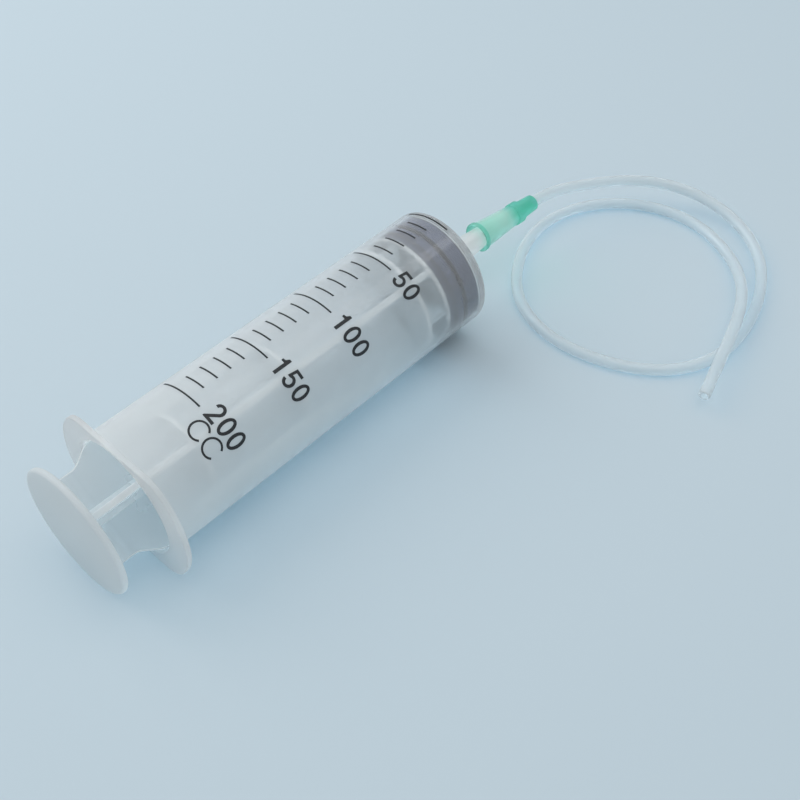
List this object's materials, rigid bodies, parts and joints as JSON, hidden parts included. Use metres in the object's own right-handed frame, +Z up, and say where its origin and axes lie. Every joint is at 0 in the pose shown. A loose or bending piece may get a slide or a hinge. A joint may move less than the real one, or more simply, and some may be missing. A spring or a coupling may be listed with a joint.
{
  "type": "flushing syringe",
  "caption": "Large clear irrigation syringe with a finger flange and thumb disc, a coned nozzle, and a coiled clear catheter on a soft funnel connector.",
  "frame": {"origin": "centre of the syringe's footprint on the surface it lies on, without the loose catheter tube", "axes": "+X along the syringe towards its nozzle, +Z up from the surface; the axis dips 0.33 degrees towards the nozzle"},
  "size_m": [0.3027, 0.1439, 0.0508],
  "materials": {
    "barrel_polypropylene": "glossy, milky translucent polypropylene",
    "rod_polypropylene": "satin, milky translucent polypropylene",
    "piston_rubber": "smooth dark grey-blue moulded rubber",
    "funnel_pvc": "soft translucent green vinyl",
    "tube_pvc": "clear soft vinyl, glossy"
  },
  "bodies": {
    "barrel": {"barrel": "barrel_polypropylene"},
    "piston": {"rubber_piston": "piston_rubber"},
    "rod": {"plunger_rod": "rod_polypropylene"},
    "catheter": {"funnel_connector": "funnel_pvc", "catheter_tube": "tube_pvc", "catheter_tip": "tube_pvc"}
  },
  "joints": [
    {"name": "plunger_slide", "type": "slide", "parent": "barrel", "child": "piston", "axis": [-1, 0, 0.0057], "range_m": [0, 0.125]},
    {"name": "rod_turn", "type": "hinge", "parent": "piston", "child": "rod", "pos_m": [0.03463, 0, 0.02455], "axis": [1, 0, -0.0057], "continuous": true},
    {"name": "catheter_pull", "type": "slide", "parent": "barrel", "child": "catheter", "axis": [1, 0, -0.0057], "range_m": [0, 0.04]}
  ]
}
